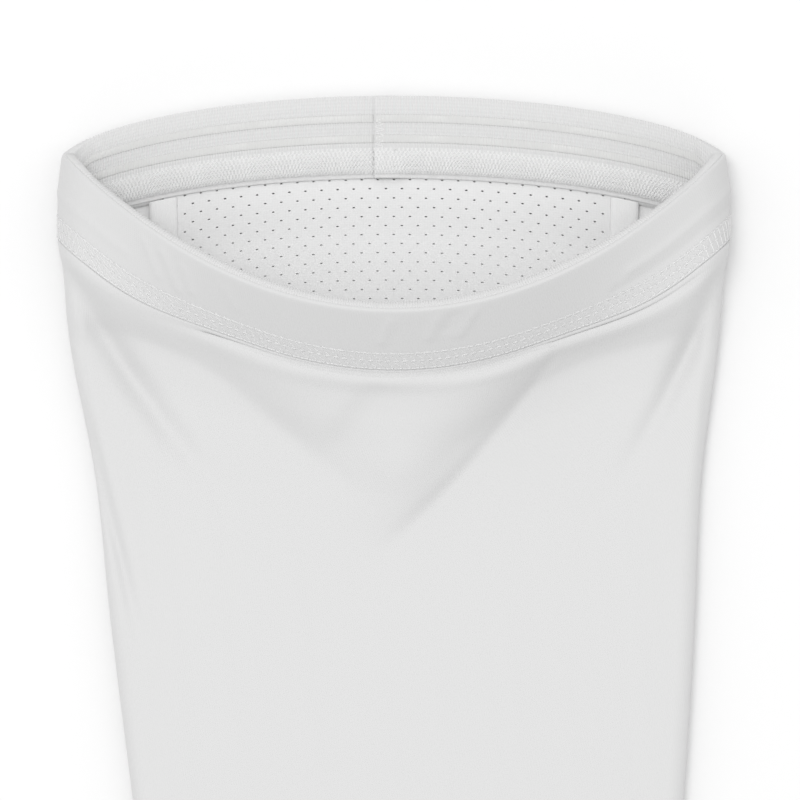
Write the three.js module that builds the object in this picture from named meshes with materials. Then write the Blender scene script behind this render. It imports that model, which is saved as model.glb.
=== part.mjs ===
// Calf compression sleeve: a tapered knitted tube lying on its mesh back panel with the mouth propped open.
// Millimetres, X across the sleeve, +Y towards the mouth, +Z up from the surface that it lies on.
// Every piece is a band of cloth laid on one common surface, the outer face of the tube's single layer.
import * as THREE from 'three';

// Outline
const LENGTH = 330; // back of the rim to the ankle edge
const RIM_WIDTH = 160.8; // the flattened mouth, corner to corner
const MOUTH_WIDTH = 162.6; // at the stitching of the top hem, the widest place
const ANKLE_WIDTH = 106;
const RIM_BOW = 14.5; // how far the back of the rim stands beyond its corners
const RIM_DIP = 37.8; // how far the front of the rim hangs below its corners
const AXIS_DRIFT = 5; // the ankle end lies this far to the side

// Heights of the cloth above the surface
const MOUTH_HEIGHT = 37; // top of the propped rim
const RIM_SIDE_HEIGHT = 13; // across the fold at each corner of the mouth
const BODY_HEIGHT = 9; // the flattened tube
const HEM_TILT = 47; // degrees that the front of the hem slopes
const SETTLE = 22; // the longest way the front takes from the hem down to the flattened tube
const ROLL_HEIGHT = 1.6; // cloth puffed up just below the hem's stitching
const ROLL_WIDTH = 1.7;
const ROLL_PLACE = 1.2; // widths of the roll from the slope's end to its crest

// Cloth and trim
const CLOTH = 1;
const EDGE_RUN = 1.6; // the cloth keeps the hem's slope for this length below its last needle line
const GAP = 0.3; // between neighbouring pieces
const HEM_DEPTH = 19.9; // rim to the last needle line
const HEM_LAP = 6; // the hem laps over the panels by this much
const ANKLE_HEM_DEPTH = 15;
const SEAM_SHARE = 0.7; // the side seams' place, of the half width
const SEAM_WIDTH = 7;
const SEAM_THICKNESS = 0.8;
const ELASTIC_WIDTH = 20.3;
const ELASTIC_THICKNESS = 1.5;
const ELASTIC_ROUNDING = 0.3; // of its two long edges
const ELASTIC_PROUD = 1; // the elastic shows above the hem's fold
const ELASTIC_OVERLAP = 4.2; // its two ends are lapped at the back
const ELASTIC_JOIN_X = -2.7;
const LAP_RAMP = 5; // the upper end climbs onto the lower one over this length
const SILICONE_WIDTH = 2.1;
const SILICONE_THICKNESS = 0.5;
const SILICONE_UPPER_AT = 5.6; // middle of each line, from the elastic's top edge
const SILICONE_LOWER_AT = 10.6;

// Worked out from the sizes above
const CORNER_Y = LENGTH / 2 - ELASTIC_PROUD - RIM_BOW;
const ANKLE_Y = -LENGTH / 2;
const TUBE = CORNER_Y - ANKLE_Y; // the sleeve's length along its side folds
const HALF_MOUTH = MOUTH_WIDTH / 2;
const HEM_OUT = GAP + CLOTH; // the hem's outer layer stands this far off the panels
const SLOPE_DEPTH = HEM_DEPTH + EDGE_RUN; // the slope of the hem runs on to here, just below its stitching
const ELASTIC_OUT = -CLOTH - GAP;
const ELASTIC_IN = ELASTIC_OUT - ELASTIC_THICKNESS;
const ELASTIC_END = ELASTIC_WIDTH - ELASTIC_PROUD;
const RIM_SPREAD = 12; // the mouth widens from the rim to its full width over this length
const LIFT_RUN = 14; // the panels come down from the hem's thickness onto the surface over this length
const CORNER_RUN = 0.85; // how gradually the hem's slope grows beside a corner
const DIP_POWER = 0.95; // shape of the front of the rim, seen from above
const BOW_POWER = 0.62; // shape of its back
const ARCH_POWER = 0.6; // shape of its front, seen from the mouth
const KNEE = 0.16; // how softly the settling front meets the flat, as a share of its run

// Taper of the tube: down is a share of the tube's length from the rim, width a share of the way from
// the ankle's width to the mouth's, drift a share of the axis's drift.
const TAPER = [
  { down: 0.0, width: 1.0, drift: 0 },
  { down: 0.071, width: 1.0, drift: 0 },
  { down: 0.14, width: 0.954, drift: 0 },
  { down: 0.25, width: 0.763, drift: 0.22 },
  { down: 0.363, width: 0.668, drift: 0.43 },
  { down: 0.5, width: 0.526, drift: 0.7 },
  { down: 0.667, width: 0.318, drift: 0.85 },
  { down: 0.826, width: 0.104, drift: 0.95 },
  { down: 0.952, width: 0.01, drift: 1 },
  { down: 1.0, width: 0.0, drift: 1 },
];

// How the front settles below the hem: across is a share of the half width, run a share of SETTLE,
// roll a share of ROLL_HEIGHT.
const DRAPE = [
  { across: -1.0, run: 1.0, roll: 0 },
  { across: -0.85, run: 0.6, roll: 0 },
  { across: -0.46, run: 0.4, roll: 0.1 },
  { across: -0.19, run: 1.0, roll: 0.5 },
  { across: 0.02, run: 0.82, roll: 1 },
  { across: 0.26, run: 0.55, roll: 0.9 },
  { across: 0.49, run: 0.42, roll: 1 },
  { across: 0.85, run: 0.5, roll: 0.7 },
  { across: 1.0, run: 1.0, roll: 0 },
];

// Folds of the front. Their points are shares of the half mouth width across and of the length down
// from the back of the rim. rise is a share of the body's height, steep and soft are the widths of the
// fold's two sides as shares of the half mouth width: steep is on the right of the fold's direction.
const FOLDS = [
  { name: 'swag_right', from: [-0.05, 0.336], by: [0.26, 0.262], to: [0.49, 0.207], rise: 0.5, steep: 0.06, soft: 0.22 },
  { name: 'swag_left', from: [-0.42, 0.225], by: [-0.24, 0.285], to: [-0.04, 0.338], rise: 0.2, steep: 0.18, soft: 0.09 },
  { name: 'left_drape', from: [-0.45, 0.34], by: [-0.72, 0.235], to: [-0.93, 0.14], rise: 0.26, steep: 0.1, soft: 0.16 },
  { name: 'left_edge', from: [-0.75, 0.4], by: [-0.86, 0.317], to: [-0.915, 0.255], rise: 0.12, steep: 0.03, soft: 0.06 },
  { name: 'right_drape', from: [0.62, 0.305], by: [0.84, 0.21], to: [0.965, 0.135], rise: 0.24, steep: 0.05, soft: 0.14 },
];
const FOLD_STEPS = 12; // straight pieces that stand for a fold's curve
const FOLD_FADE = 0.3; // share of a fold's length over which it rises and dies away

// How finely the cloth is divided
const FRONT_COLUMNS = 24;
const SIDE_COLUMNS = 6;
const WRAP_COLUMNS = 2;
const BACK_COLUMNS = 6;
const RIM_BACK_COLUMNS = 14;
const ANKLE_FRONT_COLUMNS = 14;
const ANKLE_BACK_COLUMNS = 8;
const LAP_RAMP_COLUMNS = 3;
const LAP_COLUMNS = 2;
const CROWDING = 0.6; // how far the columns crowd towards the sides, from 0, even, to 1
const ROLL_ROWS = [0, 0.6, 1.3, 2.2]; // widths of the roll below the slope's end
const BODY_ROWS = 20;
const EVEN_SPACING = 0.35; // share of the body rows' spacing that is even, while the rest widens
const WIDENING = 2.2;
const ANKLE_ROWS = 3;

const clamp = (value, low, high) => Math.min(high, Math.max(low, value));
const mix = (a, b, share) => a + (b - a) * share;

function ease(share) {
  const t = clamp(share, 0, 1);
  return t * t * (3 - 2 * t);
}

// Value of one column of a table at a place along another, on a smooth curve through the rows.
function lookUp(table, along, at, column) {
  const place = clamp(at, table[0][along], table[table.length - 1][along]);
  const last = table.length - 2;
  let row = 0;
  while (row < last && table[row + 1][along] < place) row += 1;
  const here = table[row];
  const next = table[row + 1];
  const before = table[Math.max(row - 1, 0)];
  const after = table[Math.min(row + 2, last + 1)];
  const span = next[along] - here[along];
  const slopeHere = (next[column] - before[column]) / (next[along] - before[along]);
  const slopeNext = (after[column] - here[column]) / (after[along] - here[along]);
  const t = (place - here[along]) / span;
  const t2 = t * t;
  const t3 = t2 * t;
  return (
    here[column] * (2 * t3 - 3 * t2 + 1) +
    slopeHere * span * (t3 - 2 * t2 + t) +
    next[column] * (3 * t2 - 2 * t3) +
    slopeNext * span * (t3 - t2)
  );
}

// A flattened tube's section. turn runs round it: 0 to 1 over the front from left to right, 1 to 2 down
// the right side, 2 to 3 along the back from right to left, 3 to 4 up the left side.
function section(turn, halfWidth, halfHeight) {
  const lap = ((turn % 4) + 4) % 4;
  const stretch = Math.floor(lap);
  const share = lap - stretch;
  const flat = halfWidth - halfHeight;
  const angle = Math.PI * share;
  if (stretch === 0) return { x: flat * (2 * share - 1), z: 2 * halfHeight };
  if (stretch === 1) return { x: flat + halfHeight * Math.sin(angle), z: halfHeight * (1 + Math.cos(angle)) };
  if (stretch === 2) return { x: flat * (1 - 2 * share), z: 0 };
  return { x: -flat - halfHeight * Math.sin(angle), z: halfHeight * (1 - Math.cos(angle)) };
}

// The turn of a point on the back, x to the side of the axis, at a length down the tube.
function backTurn(x, down) {
  const flat = halfWidthAt(down) - halfHeightAt(down);
  return 2.5 - x / (2 * flat);
}

function halfWidthAt(down) {
  const full = mix(ANKLE_WIDTH, MOUTH_WIDTH, lookUp(TAPER, 'down', down / TUBE, 'width')) / 2;
  const narrowing = (MOUTH_WIDTH - RIM_WIDTH) / 2;
  const open = clamp(down / RIM_SPREAD, 0, 1) - 1;
  return full - narrowing * open * open;
}

function halfHeightAt(down) {
  return mix(RIM_SIDE_HEIGHT, BODY_HEIGHT, ease((down - SLOPE_DEPTH) / SETTLE)) / 2;
}

// The hems are thicker than the panels, which come down to the surface between them.
function liftAt(down) {
  const fromMouth = ease((down - HEM_DEPTH) / LIFT_RUN);
  const fromAnkle = ease((TUBE - ANKLE_HEM_DEPTH - down) / LIFT_RUN);
  return HEM_OUT * (1 - Math.min(fromMouth, fromAnkle));
}

// The edge of the mouth, continued down the slope of the hem.
function hemPoint(turn, down) {
  const halfWidth = halfWidthAt(down);
  const halfHeight = RIM_SIDE_HEIGHT / 2;
  const { x, z } = section(turn, halfWidth, halfHeight);
  const round = Math.max(0, 1 - (x / halfWidth) ** 2);
  if (z <= halfHeight) return { x, y: CORNER_Y + RIM_BOW * round ** BOW_POWER - down, z };
  const arch = (MOUTH_HEIGHT - RIM_SIDE_HEIGHT) * round ** ARCH_POWER;
  const slope = HEM_TILT * ease(round / CORNER_RUN);
  const tilt = THREE.MathUtils.degToRad(slope);
  return {
    x,
    y: CORNER_Y - RIM_DIP * round ** DIP_POWER - down * Math.cos(tilt),
    z: z + arch - down * Math.sin(tilt),
  };
}

// Points of a fold's curve, in millimetres.
function foldLine({ from, by, to }) {
  const place = ([across, down]) => new THREE.Vector2(across * HALF_MOUTH, LENGTH / 2 - down * LENGTH);
  const [start, middle, end] = [from, by, to].map(place);
  const control = middle.clone().multiplyScalar(2).sub(start.clone().add(end).multiplyScalar(0.5));
  return new THREE.QuadraticBezierCurve(start, control, end).getPoints(FOLD_STEPS);
}

const foldLines = FOLDS.map(foldLine);

// Height that one fold adds at a point of the front.
function foldHeight(fold, line, x, y) {
  let nearest = Infinity;
  let along = 0;
  let side = 1;
  for (let i = 0; i < FOLD_STEPS; i += 1) {
    const a = line[i];
    const edge = line[i + 1].clone().sub(a);
    const away = new THREE.Vector2(x, y).sub(a);
    const t = clamp(away.dot(edge) / edge.lengthSq(), 0, 1);
    const distance = away.clone().addScaledVector(edge, -t).length();
    if (distance >= nearest) continue;
    nearest = distance;
    along = (i + t) / FOLD_STEPS;
    side = edge.x * away.y - edge.y * away.x;
  }
  const width = (side < 0 ? fold.steep : fold.soft) * HALF_MOUTH;
  const fade = ease(along / FOLD_FADE) * ease((1 - along) / FOLD_FADE);
  return fold.rise * BODY_HEIGHT * fade * Math.exp(-((nearest / width) ** 2));
}

// A point of the tube's outer face: turn round it, down along the cloth from the rim.
function surface(turn, down) {
  const lift = liftAt(down);
  if (down <= SLOPE_DEPTH) {
    const { x, y, z } = hemPoint(turn, down);
    return new THREE.Vector3(x, y, z + lift);
  }
  const top = hemPoint(turn, SLOPE_DEPTH);
  const share = (down - SLOPE_DEPTH) / (TUBE - SLOPE_DEPTH);
  const halfHeight = halfHeightAt(down);
  const halfWidth = halfWidthAt(down);
  const flat = section(turn, halfWidth, halfHeight);
  const x = flat.x + AXIS_DRIFT * lookUp(TAPER, 'down', down / TUBE, 'drift');
  const y = mix(top.y, ANKLE_Y, share);
  const front = clamp(flat.z / halfHeight - 1, 0, 1);
  const across = front > 0 ? flat.x / halfWidth : 1;
  const gone = 1 - (top.y - y) / (SETTLE * lookUp(DRAPE, 'across', across, 'run'));
  const hanging = (gone + Math.hypot(gone, KNEE)) / (1 + Math.hypot(1, KNEE));
  const rollPlace = (down - SLOPE_DEPTH) / ROLL_WIDTH - ROLL_PLACE;
  const roll = ROLL_HEIGHT * lookUp(DRAPE, 'across', across, 'roll') * Math.exp(-(rollPlace ** 2));
  let z = mix(flat.z, top.z, hanging) + front * roll;
  FOLDS.forEach((fold, i) => {
    if (front > 0) z += front * foldHeight(fold, foldLines[i], x, y);
  });
  return new THREE.Vector3(x, y, z + lift);
}

const TURN_STEP = 0.004;
const DOWN_STEP = 0.15;

// The direction that faces out of the tube. The hem ends in a crease, and its own slope counts up to there.
function outward(turn, down) {
  const at = down <= SLOPE_DEPTH ? Math.min(down, SLOPE_DEPTH - DOWN_STEP) : down;
  const round = surface(turn + TURN_STEP, at).sub(surface(turn - TURN_STEP, at));
  const lengthwise = surface(turn, at + DOWN_STEP).sub(surface(turn, at - DOWN_STEP));
  return lengthwise.cross(round).normalize();
}

// A closed solid between two layers of the surface. Each column gives its turn at a length down, each
// row has its length down and how far out and in the two layers lie there. A ring has no ends.
function band(name, columns, rows, material, { ring = false, shift = () => 0 } = {}) {
  const corners = [];
  columns.forEach((column) => {
    rows.forEach(({ down, out, inside }) => {
      const turn = column(down);
      const base = surface(turn, down);
      const normal = outward(turn, down);
      const inward = shift(turn, down);
      corners.push(base.clone().addScaledVector(normal, out - inward));
      corners.push(base.clone().addScaledVector(normal, inside - inward));
    });
  });
  const count = rows.length;
  const vertex = (column, row, layer) => 2 * ((column % columns.length) * count + row) + layer;
  const faces = [];
  const quad = (a, b, c, d) => faces.push(a, b, c, a, c, d);
  const [OUT, IN] = [0, 1];
  const spans = ring ? columns.length : columns.length - 1;
  for (let c = 0; c < spans; c += 1) {
    for (let r = 0; r < count - 1; r += 1) {
      quad(vertex(c, r, OUT), vertex(c, r + 1, OUT), vertex(c + 1, r + 1, OUT), vertex(c + 1, r, OUT));
      quad(vertex(c, r, IN), vertex(c + 1, r, IN), vertex(c + 1, r + 1, IN), vertex(c, r + 1, IN));
    }
    quad(vertex(c, 0, OUT), vertex(c + 1, 0, OUT), vertex(c + 1, 0, IN), vertex(c, 0, IN));
    const r = count - 1;
    quad(vertex(c, r, OUT), vertex(c, r, IN), vertex(c + 1, r, IN), vertex(c + 1, r, OUT));
  }
  for (let r = 0; r < count - 1 && !ring; r += 1) {
    quad(vertex(0, r, OUT), vertex(0, r, IN), vertex(0, r + 1, IN), vertex(0, r + 1, OUT));
    quad(vertex(spans, r, OUT), vertex(spans, r + 1, OUT), vertex(spans, r + 1, IN), vertex(spans, r, IN));
  }
  const geometry = new THREE.BufferGeometry().setFromPoints(corners);
  geometry.setIndex(faces);
  geometry.computeVertexNormals();
  const mesh = new THREE.Mesh(geometry, material);
  mesh.name = name;
  return mesh;
}

// Columns between two turns, as functions of the length down, closer together near the sleeve's sides.
function columnsBetween(from, to, count) {
  const crowded = (share) => mix(share, 0.5 - 0.5 * Math.cos(Math.PI * share), CROWDING);
  return Array.from({ length: count + 1 }, (_, i) => () => mix(from, to, crowded(i / count)));
}

function columnsBetweenPlaces(fromX, toX, count) {
  return Array.from({ length: count + 1 }, (_, i) => (down) => {
    return mix(backTurn(fromX(down), down), backTurn(toX(down), down), i / count);
  });
}

const knit = new THREE.MeshStandardMaterial({ color: 0xe9e9ea, roughness: 0.85, metalness: 0 });
const mesh = new THREE.MeshStandardMaterial({ color: 0xe6e6e8, roughness: 0.9, metalness: 0 });
const elastic = new THREE.MeshStandardMaterial({ color: 0xe3e3e4, roughness: 0.8, metalness: 0 });
const silicone = new THREE.MeshStandardMaterial({ color: 0xdcdbd8, roughness: 0.3, metalness: 0 });

// Lengths down the panels: close together where the front settles and folds, wide apart further down.
const PANEL_TOP = HEM_DEPTH - HEM_LAP + GAP;
const PANEL_END = TUBE - ANKLE_HEM_DEPTH + HEM_LAP - GAP;
const panelRow = (down) => ({ down, out: 0, inside: -CLOTH });

function panelDowns() {
  const flatTo = TUBE - ANKLE_HEM_DEPTH - LIFT_RUN;
  const rows = ROLL_ROWS.map((widths) => SLOPE_DEPTH + ROLL_WIDTH * widths);
  const start = rows.pop();
  for (let i = 0; i < BODY_ROWS; i += 1) {
    const share = i / BODY_ROWS;
    rows.push(mix(start, flatTo, mix(share ** WIDENING, share, EVEN_SPACING)));
  }
  for (let i = 0; i <= ANKLE_ROWS; i += 1) rows.push(flatTo + (LIFT_RUN * i) / ANKLE_ROWS);
  return rows;
}

const panelRows = [PANEL_TOP, ELASTIC_END, ...panelDowns(), PANEL_END].map(panelRow);

function frontPanel() {
  const seamRight = (down) => SEAM_SHARE * halfWidthAt(down) + GAP / 2;
  const seamLeft = (down) => -seamRight(down);
  const edgeRight = (down) => halfWidthAt(down) - halfHeightAt(down);
  const edgeLeft = (down) => -edgeRight(down);
  const columns = [
    ...columnsBetweenPlaces(seamLeft, edgeLeft, WRAP_COLUMNS).slice(0, -1),
    ...columnsBetween(3, 4, SIDE_COLUMNS).slice(0, -1),
    ...columnsBetween(4, 5, FRONT_COLUMNS).slice(0, -1),
    ...columnsBetween(5, 6, SIDE_COLUMNS).slice(0, -1),
    ...columnsBetweenPlaces(edgeRight, seamRight, WRAP_COLUMNS).map((column) => (down) => column(down) + 4),
  ];
  return band('front_panel', columns, panelRows, knit);
}

function meshPanel() {
  const right = (down) => SEAM_SHARE * halfWidthAt(down) - GAP / 2;
  const left = (down) => -right(down);
  return band('mesh_panel', columnsBetweenPlaces(right, left, BACK_COLUMNS), panelRows, mesh);
}

// The seam allowance lies flat inside, over the joint of the two panels, from the elastic to the ankle hem.
function sideSeam(name, side) {
  const middle = (down) => side * SEAM_SHARE * halfWidthAt(down);
  const right = (down) => middle(down) + SEAM_WIDTH / 2;
  const left = (down) => middle(down) - SEAM_WIDTH / 2;
  const from = ELASTIC_END + GAP;
  const to = TUBE - ANKLE_HEM_DEPTH - GAP;
  const inner = panelDowns().slice(0, -1);
  const rows = [from, ...inner, to].map((down) => {
    return { down, out: -CLOTH - GAP, inside: -CLOTH - GAP - SEAM_THICKNESS };
  });
  return band(name, columnsBetweenPlaces(right, left, 1), rows, knit);
}

function ringColumns(front, side, back) {
  return [
    ...columnsBetween(0, 1, front).slice(0, -1),
    ...columnsBetween(1, 2, side).slice(0, -1),
    ...columnsBetween(2, 3, back).slice(0, -1),
    ...columnsBetween(3, 4, side).slice(0, -1),
  ];
}

// The fold at a hem's edge: from and out and inside are shares of the cloth's thickness and of the two
// layers' distances from the surface.
const FOLD_EDGE = [
  { from: 0.0, out: 0.45, inside: 0.25 },
  { from: 0.4, out: 0.88, inside: 0.8 },
  { from: 1.2, out: 1.0, inside: 1.0 },
];
const LAYER_STEP = 0.1; // length over which a hem goes from two layers to one

const foldEdge = FOLD_EDGE.map(({ from, out, inside }) => {
  return { from: from * CLOTH, out: out * HEM_OUT, inside: -inside * CLOTH };
});
const twoLayers = (down) => ({ down, out: HEM_OUT, inside: -CLOTH });
const lapped = (down) => ({ down, out: HEM_OUT, inside: GAP });

// The shell is turned over at the mouth: two layers down to the panels, then one that laps over them.
function topHem() {
  const under = HEM_DEPTH - HEM_LAP;
  const rows = [
    ...foldEdge.map(({ from, out, inside }) => ({ down: from, out, inside })),
    ...[under / 3, (2 * under) / 3, under - LAYER_STEP].map(twoLayers),
    ...[under, HEM_DEPTH].map(lapped),
  ];
  return band('top_hem', ringColumns(FRONT_COLUMNS, SIDE_COLUMNS, RIM_BACK_COLUMNS), rows, knit, { ring: true });
}

function ankleHem() {
  const over = TUBE - ANKLE_HEM_DEPTH;
  const under = over + HEM_LAP;
  const rows = [
    ...[over, under].map(lapped),
    twoLayers(under + LAYER_STEP),
    ...foldEdge.map(({ from, out, inside }) => ({ down: TUBE - from, out, inside })).reverse(),
  ];
  return band('ankle_hem', ringColumns(ANKLE_FRONT_COLUMNS, SIDE_COLUMNS, ANKLE_BACK_COLUMNS), rows, knit, { ring: true });
}

// Once round the mouth inside the hem, from the join at the back to lap over itself there.
function elasticColumns(startX, endX) {
  const backHalf = columnsBetween(2, 3, RIM_BACK_COLUMNS);
  const startTurn = backTurn(startX, 0);
  const footTurn = backTurn(RAMP_FOOT_X, 0);
  const onward = (column) => (down) => column(down) + 4;
  return [
    () => startTurn,
    ...backHalf.filter((column) => column() > startTurn + JOIN_SPACE && column() < 3),
    ...columnsBetween(3, 4, SIDE_COLUMNS).slice(0, -1),
    ...columnsBetween(4, 5, FRONT_COLUMNS).slice(0, -1),
    ...columnsBetween(5, 6, SIDE_COLUMNS).slice(0, -1),
    ...backHalf.filter((column) => column() < footTurn - JOIN_SPACE).map(onward),
    ...columnsBetweenPlaces(() => RAMP_FOOT_X, () => RAMP_HEAD_X, LAP_RAMP_COLUMNS).slice(0, -1).map(onward),
    ...columnsBetweenPlaces(() => RAMP_HEAD_X, () => endX, LAP_COLUMNS).map(onward),
  ];
}

const JOIN_RIGHT_X = ELASTIC_JOIN_X + ELASTIC_OVERLAP / 2;
const JOIN_LEFT_X = ELASTIC_JOIN_X - ELASTIC_OVERLAP / 2;
const RAMP_HEAD_X = JOIN_RIGHT_X + GAP;
const RAMP_FOOT_X = RAMP_HEAD_X + LAP_RAMP;
const JOIN_SPACE = 0.01; // of a turn's quarter: no column stands closer than this to the join

// How far the elastic's upper end has climbed off the hem.
function lapShift(turn, down) {
  if (turn <= 6) return 0;
  const x = (2.5 - (turn - 4)) * 2 * (halfWidthAt(down) - halfHeightAt(down));
  return (ELASTIC_THICKNESS + GAP) * ease((RAMP_FOOT_X - x) / LAP_RAMP);
}

function gripBand() {
  const [out, inside] = [ELASTIC_OUT, ELASTIC_IN];
  const under = HEM_DEPTH - HEM_LAP;
  const rows = [
    { down: -ELASTIC_PROUD, out: out - ELASTIC_ROUNDING, inside: inside + ELASTIC_ROUNDING },
    { down: ELASTIC_ROUNDING - ELASTIC_PROUD, out, inside },
    { down: under / 3, out, inside },
    { down: (2 * under) / 3, out, inside },
    { down: under, out, inside },
    { down: ELASTIC_END - ELASTIC_ROUNDING, out, inside },
    { down: ELASTIC_END, out: out - ELASTIC_ROUNDING, inside: inside + ELASTIC_ROUNDING },
  ];
  return band('grip_band', elasticColumns(JOIN_RIGHT_X, JOIN_LEFT_X), rows, elastic, { shift: lapShift });
}

// A printed line of silicone on the inner face of the elastic, from one side of the join to the other.
function siliconeLine(name, middle) {
  const inside = ELASTIC_IN - GAP - SILICONE_THICKNESS;
  const at = middle - ELASTIC_PROUD;
  const rows = [
    { down: at - SILICONE_WIDTH / 2, out: ELASTIC_IN - GAP, inside },
    { down: at + SILICONE_WIDTH / 2, out: ELASTIC_IN - GAP, inside },
  ];
  const start = JOIN_LEFT_X - GAP;
  return band(name, elasticColumns(start, JOIN_LEFT_X + GAP), rows, silicone, { shift: lapShift });
}

const sleeve = new THREE.Group();
sleeve.add(
  frontPanel(),
  meshPanel(),
  sideSeam('side_seam_left', -1),
  sideSeam('side_seam_right', 1),
  topHem(),
  ankleHem(),
  gripBand(),
  siliconeLine('silicone_line_upper', SILICONE_UPPER_AT),
  siliconeLine('silicone_line_lower', SILICONE_LOWER_AT),
);

export default sleeve;
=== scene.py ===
"""Looks of a calf compression sleeve that lies on its mesh back panel with its mouth propped open.
Metres, X across the sleeve, +Y towards the mouth, +Z up from the surface that it lies on."""
import math

import bpy
import mathutils
import numpy as np
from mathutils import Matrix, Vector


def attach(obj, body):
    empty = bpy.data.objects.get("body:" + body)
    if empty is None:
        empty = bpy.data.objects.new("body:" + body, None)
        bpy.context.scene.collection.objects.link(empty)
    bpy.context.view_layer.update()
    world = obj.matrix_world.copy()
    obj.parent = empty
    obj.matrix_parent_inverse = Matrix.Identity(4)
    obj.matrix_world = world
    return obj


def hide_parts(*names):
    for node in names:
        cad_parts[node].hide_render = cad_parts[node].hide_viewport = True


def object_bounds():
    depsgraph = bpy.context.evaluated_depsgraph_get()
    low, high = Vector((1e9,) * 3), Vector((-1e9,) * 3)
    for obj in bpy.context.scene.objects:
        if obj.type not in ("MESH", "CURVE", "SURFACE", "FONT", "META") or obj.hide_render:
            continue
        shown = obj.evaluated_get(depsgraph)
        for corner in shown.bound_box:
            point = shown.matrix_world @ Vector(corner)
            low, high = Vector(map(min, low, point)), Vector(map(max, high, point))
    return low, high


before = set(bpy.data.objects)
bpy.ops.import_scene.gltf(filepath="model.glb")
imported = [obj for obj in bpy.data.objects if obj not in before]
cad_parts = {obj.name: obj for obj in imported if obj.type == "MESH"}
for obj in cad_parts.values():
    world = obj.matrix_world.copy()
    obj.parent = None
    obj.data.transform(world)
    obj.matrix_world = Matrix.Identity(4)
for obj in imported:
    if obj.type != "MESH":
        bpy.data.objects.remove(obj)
cad_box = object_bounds()

# Camera: far above the mouth end and looking straight down, through a long lens, so that the sleeve
# shows as in a catalogue picture taken from overhead. The ankle end lies outside the picture.
PICTURE_WIDTH = 0.196
PICTURE_CENTRE = (0.0015, 0.0900)
CAMERA_HEIGHT = 1.5
SHARP_HEIGHT = 0.013

camera_data = bpy.data.cameras.new("overhead")
camera_data.lens = camera_data.sensor_width * (CAMERA_HEIGHT - SHARP_HEIGHT) / PICTURE_WIDTH
camera = bpy.data.objects.new("overhead", camera_data)
camera.location = (*PICTURE_CENTRE, CAMERA_HEIGHT)
bpy.context.collection.objects.link(camera)
bpy.context.scene.camera = camera
bpy.context.scene.view_settings.view_transform = "Standard"

# Front panel: one cut of plain polyester and elastane knit, which wraps round both side folds and is
# sewn to the mesh at the back. The propped hem holds its top end up, and it falls from there in a
# rolled edge, a sloping dip and V-shaped swags until it lies flat.
whole_low, whole_high = cad_box
CLOTH = 0.001
GAP = 0.0003
HEM_OUT = GAP + CLOTH
LENGTH = whole_high[1] - whole_low[1]
MOUTH_WIDTH = 0.1626
RIM_WIDTH = 0.1608
ANKLE_WIDTH = 0.106
MOUTH_HEIGHT = 0.037
RIM_BOW = 0.0145
RIM_DIP = 0.0378
AXIS_DRIFT = 0.005
RIM_SIDE_HEIGHT = 0.013
BODY_HEIGHT = 0.009
HEM_TILT = math.radians(47)
SETTLE = 0.022
ROLL_HEIGHT = 0.0016
ROLL_WIDTH = 0.0023
ROLL_PLACE = 1.0
ROLL_START = 0.0018
FOLD_START = 0.0055
HEM_DEPTH = 0.0199
HEM_LAP = 0.006
ANKLE_HEM_DEPTH = 0.015
SEAM_SHARE = 0.7
ELASTIC_PROUD = 0.001
CORNER_Y = whole_high[1] - ELASTIC_PROUD - RIM_BOW
ANKLE_Y = whole_low[1]
TUBE = CORNER_Y - ANKLE_Y
SLOPE_PAST_HEM = 1.6 * CLOTH
SLOPE_DEPTH = HEM_DEPTH + SLOPE_PAST_HEM
RIM_SPREAD = 0.012
LIFT_RUN = 0.014
CORNER_RUN = 0.85
DIP_POWER = 0.95
BOW_POWER = 0.62
ARCH_POWER = 0.6
KNEE = 0.11
CALM_RUN = 2
# down is a share of the tube's length, width of the way from the mouth's width to the ankle's, and
# drift of AXIS_DRIFT
TAPER = {
    "down": [0.0, 0.071, 0.14, 0.25, 0.363, 0.5, 0.667, 0.826, 0.952, 1.0],
    "width": [1.0, 1.0, 0.954, 0.763, 0.668, 0.526, 0.318, 0.104, 0.01, 0.0],
    "drift": [0.0, 0.0, 0.0, 0.22, 0.43, 0.7, 0.85, 0.95, 1.0, 1.0],
}
# across is a share of the half width, run of SETTLE, roll of ROLL_HEIGHT
DRAPE = {
    "across": [-1.0, -0.85, -0.62, -0.44, -0.22, -0.1, 0.02, 0.2, 0.49, 0.85, 1.0],
    "run": [1.0, 0.45, 0.38, 0.62, 1.1, 1.3, 1.35, 0.9, 0.4, 0.5, 1.0],
    "roll": [0.0, 0.0, 0.2, 0.6, 1.0, 1.1, 1.1, 1.0, 0.9, 0.7, 0.0],
}
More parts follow.
